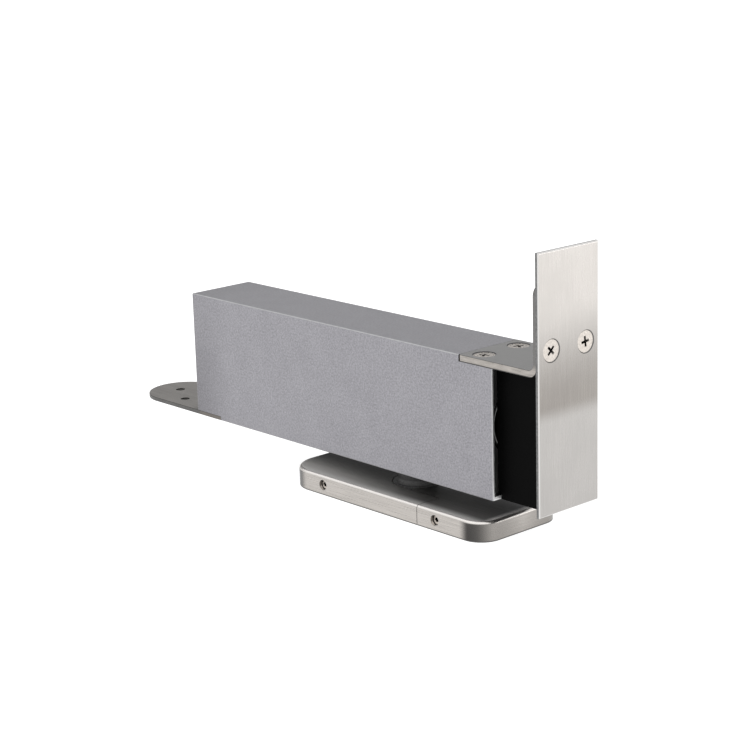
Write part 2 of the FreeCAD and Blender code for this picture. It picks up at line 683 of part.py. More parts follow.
def spindle():
    half = SQUARE / 2
    collar_z1 = BASE_T + COLLAR_T
    shaft = box(-half, half, -half, half, SOCKET_FLOOR, BASE_T)
    shaft = shaft.fuse(rod_z(COLLAR_R, BASE_T, collar_z1))
    shaft = shaft.fuse(rod_z(SPINDLE_R, collar_z1, LOWER_SEAT_Z1))
    shaft = shaft.fuse(rod_z(NECK_R, LOWER_SEAT_Z1, GEAR_Z0))
    shaft = shaft.fuse(pinion())
    shaft = shaft.fuse(rod_z(UPPER_R, GEAR_Z1, SPINDLE_Z1))
    return cut_all(shaft, [rod_z(BOLT_R, SOCKET_FLOOR - PAST, BOLT_SUNK + BOLT_L + TIP_ROOM)])


def spindle_bolt():
    screw = sunk_screw(BOLT_HEAD_R, BOLT_R - THREAD_GAP, BOLT_L)
    return turned(screw, (0.0, 0.0, BOLT_SUNK), (0, 0, -1))


def lower_bearing():
    return ring_z(LOWER_SEAT_R - SEAT_GAP, SPINDLE_R + RUN_GAP, LOWER_BEARING_Z0, LOWER_SEAT_Z1).Solids[0]


def upper_bearing():
    return ring_z(UPPER_SEAT_R - SEAT_GAP, UPPER_R + RUN_GAP, UPPER_BEARING_Z0, UPPER_BEARING_Z1).Solids[0]


def thrust_washer():
    return rod_z(UPPER_SEAT_R - SEAT_GAP, SPINDLE_Z1 + FACE_GAP, UPPER_SEAT_Z1)


def spindle_seal():
    return ring_z(LOWER_SEAT_R - SEAT_GAP, SPINDLE_R + RUN_GAP, SEAL_Z0, SEAL_Z0 + SEAL_T).Solids[0]


def seal_circlip():
    z0 = CLIP_GROOVE_Z0 + CLIP_SIDE_GAP / 2
    r_out = LOWER_SEAT_R + CLIP_GROOVE_DEPTH - CLIP_RIM_GAP
    ring = ring_z(r_out, LOWER_SEAT_R - CLIP_INWARD, z0, z0 + CLIP_T)
    half = CLIP_MOUTH / 2
    return cut_all(ring, [box(0.0, r_out + PAST, -half, half, z0 - PAST, z0 + CLIP_T + PAST)])


def rack_window():
    pitch = math.pi * MODULE
    slope = math.tan(PRESSURE)
    tip_half = pitch / 4 - MODULE * slope
    root_half = pitch / 4 + DEDENDUM * MODULE * slope
    far_wall = TIP_R + WINDOW_SIDE_GAP
    points = [(-WINDOW, -far_wall), (WINDOW, -far_wall), (WINDOW, RACK_TIP_Y)]
    gaps = int((WINDOW - pitch / 2) / pitch)
    for k in range(gaps - 1, -gaps - 1, -1):
        ahead = (k + 1) * pitch
        behind = k * pitch
        points.append((ahead - tip_half, RACK_TIP_Y))
        points.append((ahead - root_half, RACK_ROOT_Y))
        points.append((behind + root_half, RACK_ROOT_Y))
        points.append((behind + tip_half, RACK_TIP_Y))
    points.append((-WINDOW, RACK_TIP_Y))
    return prism_z(points, BORE_Z - BORE_R - PAST, BORE_Z + BORE_R + PAST)


def rack_piston():
    reach = BORE_R + PAST
    flat = BORE_R - HEAD_FLAT_DEPTH
    half = SEAL_GROOVE_W / 2
    cutters = [rack_window(), ring_x(reach, SEAL_GROOVE_R, SEAL_MID - half, SEAL_MID + half)]
    for z0, z1 in ((flat, reach), (-reach, -flat)):
        cutters.append(box(PISTON_X0 - PAST, -WINDOW, -reach, reach, BORE_Z + z0, BORE_Z + z1))
    cutters.append(rod_x(ROD_THREAD_R, PISTON_X0 - PAST, PISTON_X0 + ROD_THREAD_L + TIP_ROOM))
    return cut_all(rod_x(PISTON_R, PISTON_X0, PISTON_X1), cutters)


def piston_seal():
    half = SEAL_GROOVE_W / 2 - SEAL_SIDE_GAP
    return ring_x(BORE_R - RUN_GAP, SEAL_GROOVE_R + SEAT_GAP, SEAL_MID - half, SEAL_MID + half).Solids[0]


def spring_rod():
    thread_r = ROD_THREAD_R - THREAD_GAP
    rod = rod_x(ROD_R, TAIL_X1, PISTON_X0)
    rod = rod.fuse(rod_x(thread_r, PISTON_X0, PISTON_X0 + ROD_THREAD_L))
    return rod.fuse(rod_x(thread_r, NUT_X0 - ROD_PROUD, TAIL_X1)).Solids[0]


def tail_seat():
    return ring_x(BORE_R - TAIL_SEAT_GAP, ROD_THREAD_R, TAIL_X0, TAIL_X1).Solids[0]


def rod_nut():
    blank = turned(hexagon(NUT_ACROSS, 0.0, NUT_T), (NUT_X0, 0.0, BORE_Z), (1, 0, 0))
    return cut_all(blank, [rod_x(ROD_THREAD_R, NUT_X0 - PAST, TAIL_X0 + PAST)])


def closing_spring(x0, x1):
    # A round wire wound at one pitch, with its end coils ground flat.
    length = x1 - x0 - 2 * SPRING_END_GAP
    rise = length - 2 * SPRING_GROUND
    pitch = rise / SPRING_TURNS
    path = Part.Wire(Part.makeHelix(pitch, rise, SPRING_MEAN_R))
    along = V(0, 2 * math.pi * SPRING_MEAN_R, pitch)
    wire = Part.Wire(Part.makeCircle(SPRING_WIRE / 2, V(SPRING_MEAN_R, 0, 0), along))
    coil = Part.Solid(Part.Shell(path.makePipeShell([wire], True, True).Faces))
    if coil.Volume < 0:
        coil.reverse()
    coil.translate(V(0, 0, SPRING_GROUND))
    ground = coil.common(rod_z(SPRING_MEAN_R + SPRING_WIRE, 0.0, length)).Solids[0]
    return turned(ground, (x0 + SPRING_END_GAP, 0.0, BORE_Z), (1, 0, 0))


def spring_stop():
    cutters = []
    for k in range(4):
        a = math.pi * (2 * k + 1) / 4
        y = STOP_OIL_AT * math.cos(a)
        z = BORE_Z + STOP_OIL_AT * math.sin(a)
        cutters.append(rod_x(STOP_OIL_R, STOP_X0 - PAST, STOP_X1 + PAST, y, z))
    return cut_all(ring_x(BORE_R - SEAT_GAP, STOP_BORE_R, STOP_X0, STOP_X1), cutters)


def stop_circlips():
    clips = []
    r_out = STOP_GROOVE_R - CLIP_RIM_GAP
    half = STOP_CLIP_MOUTH / 2
    for x0 in clip_places():
        x1 = x0 + STOP_CLIP_T
        mouth = box(x0 - PAST, x1 + PAST, -half, half, BORE_Z, BORE_Z + r_out + PAST)
        clips.append(cut_all(ring_x(r_out, BORE_R - STOP_CLIP_INWARD, x0, x1), [mouth]))
    return clips


def speed_valve(y):
    z = LOW_BAND_Z
    needle = rod_x(VALVE_R, VALVE_X0, VALVE_X1, y, z)
    tip_x = VALVE_X0 - VALVE_TIP_L
    tip = Part.makeCone(VALVE_TIP_R, VALVE_R - VALVE_SHOULDER, VALVE_TIP_L, V(tip_x, y, z), V(1, 0, 0))
    half = VALVE_GROOVE_W / 2
    groove = rod_x(VALVE_R + PAST, VALVE_GROOVE_X - half, VALVE_GROOVE_X + half, y, z)
    groove = groove.cut(rod_x(VALVE_GROOVE_R, VALVE_X0, VALVE_X1, y, z))
    wide = VALVE_R + PAST
    high = VALVE_SLOT_W / 2
    slot = box(VALVE_X1 - VALVE_SLOT_D, VALVE_X1 + PAST, y - wide, y + wide, z - high, z + high)
    return cut_all(needle.fuse(tip), [groove, slot])


def valve_seals():
    return [o_ring(VALVE_BORE_R, VALVE_GROOVE_R, VALVE_GROOVE_X, y, LOW_BAND_Z) for y in both(VALVE_Y)]


def passage_plugs():
    z1 = BODY_Z0 + PORT_PLUG_L
    return [rod_z(PORT_PLUG_R - SEAT_GAP, BODY_Z0, z1, x, y) for x, y in passage_ports()]


def floor_base():
    plate = floor_slab(BASE_INSET, 0.0, BASE_T)
    half = (SQUARE + SQUARE_GAP) / 2
    bolt_sink_r = BOLT_HEAD_R + BOLT_SUNK + SINK_GAP
    cutters = [box(-half, half, -half, half, SOCKET_FLOOR, BASE_T + PAST)]
    cutters.append(rod_z(BOLT_PASS_R, -PAST, BASE_T))
    cutters.append(sink_z(bolt_sink_r, BOLT_PASS_R, 0.0, 0.0, 0.0, -1))
    for x in both(FLOOR_HOLE_X):
        for y in both(FLOOR_HOLE_Y):
            cutters.append(rod_z(FLOOR_HOLE_R, -PAST, BASE_T + PAST, x, y))
            cutters.append(sink_z(FLOOR_HOLE_SINK_R, FLOOR_HOLE_R, BASE_T, x, y, 1))
    deep = COVER_SCREW_Y - COVER_SCREW_L - TIP_ROOM
    for x in both(COVER_SCREW_X):
        cutters.append(rod_y(M4_R, deep, BASE_HALF_W + PAST, x, COVER_SCREW_Z))
        cutters.append(rod_y(M4_R, -BASE_HALF_W - PAST, -deep, x, COVER_SCREW_Z))
    return cut_all(plate, cutters)


def cover_shell():
    half_w = COVER_W / 2
    shell = floor_slab(0.0, 0.0, COVER_H)
    rim = [e for e in shell.Edges if e.BoundBox.ZMin > COVER_H / 2]
    shell = shell.makeFillet(COVER_EDGE_R, rim)
    cutters = [floor_slab(COVER_WALL, -PAST, COVER_H - COVER_TOP_T)]
    cutters.append(rod_z(COLLAR_HOLE_R, 0.0, COVER_H + PAST))
    for x in both(COVER_SCREW_X):
        cutters.append(rod_y(COVER_SCREW_HOLE_R, -half_w - PAST, half_w + PAST, x, COVER_SCREW_Z))
    return cut_all(shell, cutters)


def long_cover():
    ahead = box(SEAM_X, COVER_FRONT + PAST, -COVER_W, COVER_W, -PAST, COVER_H + PAST)
    slot = box(0.0, SEAM_X + PAST, -COLLAR_HOLE_R, COLLAR_HOLE_R, 0.0, COVER_H + PAST)
    return cut_all(cover_shell(), [ahead, slot])


def short_cover():
    x0 = SEAM_X + SEAM_GAP
    half = COLLAR_HOLE_R - TONGUE_GAP
    behind = box(-COVER_REAR - PAST, x0, -COVER_W, COVER_W, -PAST, COVER_H + PAST)
    tongue = box(COLLAR_HOLE_R - TONGUE_IN, x0, -half, half, COVER_H - COVER_TOP_T, COVER_H)
    cover = cut_all(cover_shell(), [behind]).fuse(tongue).removeSplitter()
    return cut_all(cover, [rod_z(COLLAR_HOLE_R, 0.0, COVER_H + PAST)])


def cover_screws():
    pin = rod_z(M4_R - THREAD_GAP, -COVER_SCREW_L, 0.0)
    pin = cut_all(pin, [hexagon(COVER_SCREW_HEX, -COVER_SCREW_HEX_D, PAST)])
    screws = []
    for x in both(COVER_SCREW_X):
        for way in (-1, 1):
            screws.append(turned(pin, (x, way * COVER_SCREW_Y, COVER_SCREW_Z), (0, way, 0)))
    return screws


os.makedirs("parts", exist_ok=True)

# Stands on the floor
save("floor_base_plate", floor_base())
save("long_floor_cover", long_cover())
save("short_floor_cover", short_cover())
save("cover_screws", *cover_screws())
save("spindle", spindle())
save("spindle_bolt", spindle_bolt())

# Turns with the door
save("housing", housing())
save("lower_bearing", lower_bearing())
save("upper_bearing", upper_bearing())
save("thrust_washer", thrust_washer())
save("spindle_seal", spindle_seal())
save("seal_circlip", seal_circlip())
save("front_end_plug", end_plug(SEAT_X, 1))
save("rear_end_plug", rear_plug())
save("plug_o_rings", *plug_seals())
save("spring_stop", spring_stop())
save("stop_circlips", *stop_circlips())
save("front_spring", closing_spring(STOP_X1, PISTON_X0))
save("rear_spring", closing_spring(TAIL_X1, STOP_X0))
save("valve_o_rings", *valve_seals())
save("passage_plugs", *passage_plugs())
save("top_bracket", bracket())
save("bracket_screws", *bracket_screws())
save("spacer_block", spacer_block())
save("spacer_screws", *spacer_screws())
save("end_plate", end_plate())
save("end_plate_screws", *end_plate_screws())
save("rear_tab", rear_tab())
save("rear_tab_screws", *rear_tab_screws())

# Slides in the housing
save("rack_piston", rack_piston())
save("piston_seal", piston_seal())
save("spring_rod", spring_rod())
save("tail_spring_seat", tail_seat())
save("rod_nut", rod_nut())

# Turns in the housing
save("closing_valve", speed_valve(VALVE_Y))
save("latching_valve", speed_valve(-VALVE_Y))
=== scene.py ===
import math

import bmesh
import bpy
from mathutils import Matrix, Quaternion, Vector


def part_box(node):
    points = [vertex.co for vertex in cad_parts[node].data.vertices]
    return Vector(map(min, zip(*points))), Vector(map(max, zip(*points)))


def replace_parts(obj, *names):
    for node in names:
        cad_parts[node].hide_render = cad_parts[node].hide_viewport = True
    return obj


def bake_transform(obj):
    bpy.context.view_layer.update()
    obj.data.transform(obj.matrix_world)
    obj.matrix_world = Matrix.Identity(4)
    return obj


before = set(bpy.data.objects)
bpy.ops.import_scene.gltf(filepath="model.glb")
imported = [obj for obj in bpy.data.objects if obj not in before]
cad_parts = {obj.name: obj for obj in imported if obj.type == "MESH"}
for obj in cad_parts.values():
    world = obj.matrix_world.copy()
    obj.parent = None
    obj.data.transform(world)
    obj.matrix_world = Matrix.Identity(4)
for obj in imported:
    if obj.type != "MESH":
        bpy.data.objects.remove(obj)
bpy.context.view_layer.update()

MM = 0.001
WHITE = (1.0, 1.0, 1.0, 1.0)


def grey(value, warm=0.0):
    return (value * (1.0 + warm), value, value * (1.0 - warm), 1.0)


# Camera, in metres
CAMERA_AT = Vector((0.6180, -0.5831, 0.2811))
CAMERA_AIM = Vector((-0.0263, 0.0, 0.0527))
CAMERA_ROLL = math.radians(-1.625)
CAMERA_LENS = 96.12
SENSOR = 36.0

# Studio, in metres and watts
FLOOR_REACH = 40.0
FLOOR_TONE = grey(0.35)
FLOOR_GLOW = 0.87
FLOOR_ROUGH = 0.9
SKY_NEAR = 1.0
SKY_FAR = 0.45
SKY_FAR_FADE = (-0.5, 0.5)
SKY_TOP = 1.4
SKY_TOP_FADE = (0.3, 0.6)
LAMP_AT = (1.3, 1.15, 0.28)
LAMP_AIM = (0.09, 0.0, 0.07)
LAMP_SIZE = (1.0, 0.5)
LAMP_POWER = 3.5

# Closing springs
SPRING_WIRE = 3.0 * MM
SPRING_R = 10.5 * MM
SPRING_TURNS = 3.5
SPRING_STEPS = 40
WIRE_SIDES = 12

# Patterns and masks that several surfaces share
NOISE_SPREAD = (0.3, 0.7)
LINE_SCALE = 3500.0
LINE_STRETCH = 0.02
EDGE_FADE = (0.995, 0.93)
FACE_ON = (0.85, 0.97)
MILLED_FACE_ON = (0.8, 0.95)
FINE_DEPTH = 0.01 * MM
GRAIN_DEPTH = 0.02 * MM
BLASTED_DEPTH = 0.03 * MM
MOULDED_DEPTH = 0.05 * MM

# Housing
BODY_TONES = ((0.21, 0.206, 0.222, 1.0), (0.36, 0.355, 0.377, 1.0))
# Painted shade: darker tones toward the lower rear corner
BODY_REAR_SHADE_TONES = ((0.15, 0.147, 0.158, 1.0), (0.26, 0.256, 0.272, 1.0))
# Painted shade on the underside
BODY_UNDERSIDE_SHADE_TONES = (grey(0.09), grey(0.15))
BODY_MILLED_TONES = (grey(0.6), grey(0.75))
# Edge tone: worn metal and a painted highlight
BODY_EDGE_WEAR_AND_HIGHLIGHT_TONE = grey(0.42, -0.01)
# Painted shade in the recess behind the spacer block
BODY_RECESS_SHADE_TONE = grey(0.2)
BODY_ROUGH = (0.36, 0.46)
BODY_MILLED_ROUGH = (0.42, 0.55)
BODY_PATCH_SHARE = 0.12
# Reach and least strength of the painted shade at the lower rear corner
BODY_REAR_SHADE_LENGTH = 32.0 * MM
BODY_REAR_SHADE_LEAST = 0.3
BODY_WEAR_FADE = (0.3, 0.6)
# Least strength of the edge tone, which keeps the painted highlight unbroken
BODY_EDGE_HIGHLIGHT_LEAST = 0.6
BODY_UNDERSIDE_SHADE_FADE = (-0.2, -0.6)
MILLED_SKIN = 0.3 * MM
SEAT_FAR = 3.0 * MM
SEAT_NEAR = 1.0 * MM
SEAT_FADE = 0.5 * MM

# End plate, with places up its height from 0 to 1
PLATE_TONES = (grey(0.37, 0.035), grey(0.43, 0.035))
# Painted reflection: a paler upper half and a darker band across the middle
PLATE_UPPER_REFLECTION_TONES = (grey(0.485, 0.05), grey(0.545, 0.05))
PLATE_REFLECTION_BAND_TONES = (grey(0.24, 0.07), grey(0.295, 0.07))
# Painted shade on the cut sides
PLATE_SIDE_SHADE_TONES = (grey(0.13), grey(0.21))
# Painted highlight on the rounded rims; painted shade on the rims facing +Y and in the countersinks
PLATE_RIM_HIGHLIGHT_TONE = grey(0.58, 0.02)
PLATE_FAR_RIM_SHADE_TONE = grey(0.34, 0.01)
PLATE_SINK_SHADE_TONE = grey(0.12, 0.03)
PLATE_END_TONE = grey(0.4, 0.01)
PLATE_ROUGH = (0.2, 0.3)
PLATE_SIDE_ROUGH = (0.4, 0.5)
PLATE_PATCH_SHARE = 0.5
# Heights of the painted reflection: the paler upper half and the dark band
PLATE_UPPER_REFLECTION_FADE = (0.45, 0.8)
PLATE_REFLECTION_BAND_FOOT = (0.35, 0.42)
PLATE_REFLECTION_BAND_HEAD = (0.79, 0.42)
PLATE_FAR_RIM_SHADE_FADE = (0.15, 0.5)
PLATE_RIM = 1.2 * MM
PLATE_RIM_END = 1.8 * MM

# Top bracket
BRACKET_TONES = (grey(0.215, 0.01), grey(0.295, 0.01))
BRACKET_SHEARED_TONES = (grey(0.25, 0.07), grey(0.38, 0.07))
# Painted shade on the rounded edges and countersinks, on the leg's sheared sides and along their bottom
BRACKET_EDGE_SHADE_TONE = grey(0.07)
BRACKET_LEG_SHADE_TONE = grey(0.16, 0.02)
BRACKET_FOOT_SHADE_TONE = grey(0.08, 0.03)
BRACKET_ROUGH = (0.34, 0.46)
BRACKET_SHEARED_ROUGH = (0.25, 0.4)
BRACKET_LINE_STRETCH = 0.15
BRACKET_LEG_FADE = 3.0 * MM
BRACKET_FOOT = 0.3 * MM

# Rear tab
TAB_TONES = (grey(0.145, 0.05), grey(0.24, 0.05))
TAB_FREE_CUT_TONES = (grey(0.09, 0.02), grey(0.15, 0.02))
TAB_HELD_CUT_TONES = (grey(0.12, 0.08), grey(0.18, 0.08))
# Painted shade: along the housing, above the cut edge and in the holes
TAB_HOUSING_SHADE_TONE = grey(0.1, 0.03)
TAB_BREAK_SHADE_TONE = grey(0.05, 0.04)
TAB_HOLE_SHADE_TONE = grey(0.02, 0.1)
TAB_ROUGH = (0.4, 0.55)
TAB_PATCH_SHARE = 0.4
TAB_STREAK_SHARE = 0.4
TAB_STREAK_STRETCH = 0.1
# Reach, streaks and least strength of the painted shade along the housing
TAB_HOUSING_SHADE_LENGTH = 7.0 * MM
TAB_HOUSING_SHADE_FADE = (0.35, 0.6)
TAB_HOUSING_SHADE_LEAST = 0.3
TAB_BREAK_SHADE_FADE = (0.98, 0.85)
TAB_CUT_FADE = (0.6, 0.3)
TAB_FREE_END = 1.0 * MM
TAB_HELD_START = 4.0 * MM
TAB_SIDE = 2.0 * MM
TAB_NOSE = 8.0 * MM
TAB_INSIDE_FADE = 1.0 * MM

# Floor covers
COVER_TONES = (grey(0.37, 0.06), grey(0.47, 0.06))
# Painted light: a reflection on the top, dark toward the front and along the middle and pale near the side
# and front edges; dark reflections on the corners; shade on the ends and along the bottom; a highlight on the
# top rims
COVER_TOP_REFLECTION_TONES = (grey(0.11, 0.03), grey(0.55, 0.03))
COVER_END_SHADE_TONE = grey(0.28, 0.06)
COVER_CORNER_REFLECTION_TONE = grey(0.06, 0.04)
COVER_FOOT_SHADE_TONE = grey(0.1, 0.03)
COVER_RIM_HIGHLIGHT_TONE = grey(0.64, 0.04)
COVER_MIDDLE_REFLECTION_TONE = grey(0.03, 0.02)
COVER_TOP_EDGE_LIGHT_TONE = grey(0.7, 0.02)
COVER_ROUGH = (0.24, 0.34)
COVER_TOP_ROUGH = (0.4, 0.5)
COVER_LINE_TURN = (0.03, 0.15)
COVER_END_TURN = (0.2, 0.6)
COVER_END_SHADE_FADE = (-6.0 * MM, 16.0 * MM)
COVER_FRONT_START = 14.0 * MM
COVER_FRONT_FULL = 8.5 * MM
COVER_FRONT_TURN = (0.2, 1.0)
COVER_REAR_FADE = (0.0, -10.0 * MM)
COVER_REAR_START_TURN = (0.02, 0.42)
COVER_REAR_END_TURN = (0.45, 0.7)
COVER_UPRIGHT_TURN = (0.5, 0.1)
COVER_FOOT_SHADE_FADE = (0.7 * MM, 0.2 * MM)
COVER_RIM_START_TURN = (0.2, 0.5)
COVER_RIM_END_TURN = (0.998, 0.96)
COVER_TOP_TURN = (0.97, 0.999)
# The painted reflection on the top: its fade toward the rear, its ramp, and its share of patches and
# hairlines
COVER_TOP_REFLECTION_FADE = (40.0 * MM, -60.0 * MM)
COVER_TOP_REFLECTION_STOPS = (0.2, 0.9)
COVER_TOP_REFLECTION_PATCH_SHARE = 0.15
COVER_TOP_REFLECTION_LINE_SHARE = 0.2
COVER_TOP_METALLIC = 0.6
COVER_MIDDLE_REFLECTION_FADE = (18.0 * MM, 0.0)
# Where the painted reflection pales near the side and front edges of the top
COVER_SIDE_LIGHT_START = 7.0 * MM
COVER_SIDE_LIGHT_FULL = 0.5 * MM
COVER_END_LIGHT_START = 5.0 * MM
COVER_END_LIGHT_FULL = 1.0 * MM

# Screws, spindle and end plugs
SCREW_TONES = (grey(0.46, 0.08), grey(0.6, 0.08))
# Painted shade in the recesses
SCREW_RECESS_SHADE_TONE = grey(0.06, 0.05)
SCREW_ROUGH = (0.22, 0.34)
SCREW_RECESS_START = 0.3 * MM
SCREW_RECESS_FULL = 0.6 * MM
SCREW_WALL_TURN = (0.85, 0.5)
SPINDLE_METALLIC = 0.3
# Blackened steel, with painted shade above the floor covers; lighter lower down
SPINDLE_SHADED_TONES = (grey(0.04), grey(0.07))
SPINDLE_LOWER_TONES = (grey(0.09), grey(0.14))
SPINDLE_ROUGH = (0.35, 0.5)
SPINDLE_LOWER_START = 2.6 * MM
SPINDLE_LOWER_FULL = 1.8 * MM
PLUG_TONES = (grey(0.004), grey(0.009))
# Painted highlight: a ring where the bevel starts
PLUG_RING_HIGHLIGHT_TONE = grey(0.12)
PLUG_ROUGH = (0.3, 0.45)
PLUG_RING_INNER = (1.8 * MM, 1.6 * MM)
PLUG_RING_OUTER = (1.3 * MM, 1.5 * MM)

# Inner pieces and the block
MACHINED_TONES = (grey(0.38), grey(0.52))
MACHINED_EDGE_TONE = grey(0.46)
MACHINED_ROUGH = (0.25, 0.38)
SPRING_TONES = (grey(0.10), grey(0.16))
SPRING_ROUGH = (0.35, 0.45)
BRONZE_TONES = ((0.45, 0.28, 0.12, 1.0), (0.6, 0.4, 0.2, 1.0))
BRONZE_ROUGH = (0.3, 0.4)
RUBBER_TONES = (grey(0.012), grey(0.02))
RUBBER_ROUGH = (0.6, 0.75)
BLOCK_TONES = (grey(0.001), grey(0.003))
BLOCK_ROUGH = (0.5, 0.65)
MOULDED_GLOSS = 0.03

# Sockets of the mix node, where colours and numbers share their names
MIX_FACTOR = 0
MIX_NUMBERS = (2, 3)
MIX_NUMBER_OUT = 0
MIX_COLOURS = (6, 7)
MIX_COLOUR_OUT = 2


class Finish:
    """A surface in the making. Its patterns and masks follow the part's own position and direction."""

    def __init__(self, name, metallic=1.0):
        self.material = bpy.data.materials.new(name)
        self.material.use_nodes = True
        self.tree = self.material.node_tree
        self.shader = self.tree.nodes["Principled BSDF"]
        self.shader.inputs["Metallic"].default_value = metallic
        self.coordinates = self.node("ShaderNodeTexCoord").outputs
        normal = self.coordinates["Normal"]
        size = self.node("ShaderNodeVectorMath", {0: normal}, operation="ABSOLUTE").outputs["Vector"]
        self.at = self.split(self.coordinates["Object"])
        self.facing = self.split(size)
        self.looking = self.split(normal)

    def node(self, kind, inputs=None, **settings):
        made = self.tree.nodes.new(kind)
        for key, value in settings.items():
            setattr(made, key, value)
        for key, value in (inputs or {}).items():
            self.feed(made.inputs[key], value)
        return made

    def feed(self, socket, value):
        if isinstance(value, bpy.types.NodeSocket):
            self.tree.links.new(value, socket)
        else:
            socket.default_value = value

    def split(self, vector):
        return self.node("ShaderNodeSeparateXYZ", {"Vector": vector}).outputs

    def noise(self, scale, detail=2.0, stretch=(1.0, 1.0, 1.0)):
        place = self.node("ShaderNodeMapping", {"Vector": self.coordinates["Object"], "Scale": stretch})
        inputs = {"Vector": place.outputs["Vector"], "Scale": scale, "Detail": detail}
        return self.node("ShaderNodeTexNoise", inputs).outputs["Fac"]

    def hairlines(self, along):
        stretch = [1.0, 1.0, 1.0]
        stretch["XYZ".index(along)] = LINE_STRETCH
        return self.noise(LINE_SCALE, 2.0, stretch)

    def fade(self, value, start, end, low=0.0, high=1.0):
        inputs = {"Value": value, "From Min": start, "From Max": end, "To Min": low, "To Max": high}
        return self.node("ShaderNodeMapRange", inputs, interpolation_type="SMOOTHSTEP").outputs["Result"]

    def spread(self, pattern, low, high):
        return self.fade(pattern, *NOISE_SPREAD, low, high)

    def calculate(self, operation, first, second=0.0):
        return self.node("ShaderNodeMath", {0: first, 1: second}, operation=operation).outputs["Value"]

    def distance(self, axis):
        return self.calculate("ABSOLUTE", self.at[axis])

    def either(self, first, second):
        return self.calculate("MAXIMUM", first, second)

    def every(self, *masks):
        found = masks[0]
        for mask in masks[1:]:
            found = self.calculate("MULTIPLY", found, mask)
        return found

    def edges(self):
        """1 on a rounded edge or in a hole, 0 on a face square to the part's axes."""
        widest = self.either(self.either(self.facing["X"], self.facing["Y"]), self.facing["Z"])
        return self.fade(widest, *EDGE_FADE)

    def ramp(self, factor, low, high, start=NOISE_SPREAD[0], end=NOISE_SPREAD[1]):
        made = self.node("ShaderNodeValToRGB", {"Fac": factor})
        stops = made.color_ramp.elements
        stops[0].position = start
        stops[0].color = low
        stops[1].position = end
        stops[1].color = high
        return made.outputs["Color"]

    def mix(self, mask, first, second):
        inputs = {MIX_FACTOR: mask, MIX_COLOURS[0]: first, MIX_COLOURS[1]: second}
        return self.node("ShaderNodeMix", inputs, data_type="RGBA").outputs[MIX_COLOUR_OUT]

    def blend(self, mask, first, second):
        inputs = {MIX_FACTOR: mask, MIX_NUMBERS[0]: first, MIX_NUMBERS[1]: second}
        return self.node("ShaderNodeMix", inputs, data_type="FLOAT").outputs[MIX_NUMBER_OUT]

    def finish(self, colour, rough, height, strength, depth):
        self.feed(self.shader.inputs["Base Color"], colour)
        self.feed(self.shader.inputs["Roughness"], rough)
        inputs = {"Strength": strength, "Distance": depth, "Height": height}
        self.feed(self.shader.inputs["Normal"], self.node("ShaderNodeBump", inputs).outputs["Normal"])
        return self.material


def dress(material, *nodes):
    for name in nodes:
        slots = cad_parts[name].data.materials
        if slots:
            slots[0] = material
        else:
            slots.append(material)


def body_alloy():
    """Blasted aluminium with bright milled ends and worn edges that also carry a painted highlight. Painted
    shade darkens the underside, the lower rear corner and the recess behind the spacer block.
    """
    low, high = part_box("housing")
    f = Finish("body_alloy")
    grain = f.noise(scale=1250.0, detail=4.0)
    tone = f.blend(BODY_PATCH_SHARE, grain, f.noise(scale=90.0, detail=3.0))
    colour = f.ramp(tone, *BODY_TONES)
    # Painted shade toward the lower rear corner, strongest low down
    rear_end = f.fade(f.at["X"], low.x + BODY_REAR_SHADE_LENGTH, low.x)
    rear_shade = f.every(rear_end, f.fade(f.at["Z"], high.z, low.z, BODY_REAR_SHADE_LEAST, 1.0))
    colour = f.mix(rear_shade, colour, f.ramp(tone, *BODY_REAR_SHADE_TONES))
    # Worn edges with a painted highlight: the noise varies the tone, the least strength keeps the highlight
    # unbroken
    wear_and_highlight = f.fade(f.noise(scale=300.0, detail=3.0), *BODY_WEAR_FADE, BODY_EDGE_HIGHLIGHT_LEAST, 1.0)
    colour = f.mix(f.every(f.edges(), wear_and_highlight), colour, BODY_EDGE_WEAR_AND_HIGHLIGHT_TONE)
    # Painted shade on the faces that look down
    under = f.fade(f.looking["Z"], *BODY_UNDERSIDE_SHADE_FADE)
    colour = f.mix(under, colour, f.ramp(grain, *BODY_UNDERSIDE_SHADE_TONES))
    front = f.fade(f.at["X"], high.x - 2 * MILLED_SKIN, high.x - MILLED_SKIN)
    rear = f.fade(f.at["X"], low.x + 2 * MILLED_SKIN, low.x + MILLED_SKIN)
    milled = f.every(f.either(front, rear), f.fade(f.facing["X"], *MILLED_FACE_ON))
    lines = f.hairlines("Y")
    colour = f.mix(milled, colour, f.ramp(lines, *BODY_MILLED_TONES))
    # Painted shade on the recess floor behind the spacer block
    sunk = f.fade(f.at["X"], high.x - SEAT_FAR, high.x - SEAT_FAR + SEAT_FADE)
    below_end = f.fade(f.at["X"], high.x - SEAT_NEAR, high.x - SEAT_NEAR - SEAT_FADE)
    seat = f.every(sunk, below_end, f.fade(f.looking["X"], *MILLED_FACE_ON))
    colour = f.mix(seat, colour, BODY_RECESS_SHADE_TONE)
    rough = f.blend(milled, f.spread(grain, *BODY_ROUGH), f.spread(lines, *BODY_MILLED_ROUGH))
    return f.finish(colour, rough, grain, strength=0.3, depth=BLASTED_DEPTH)


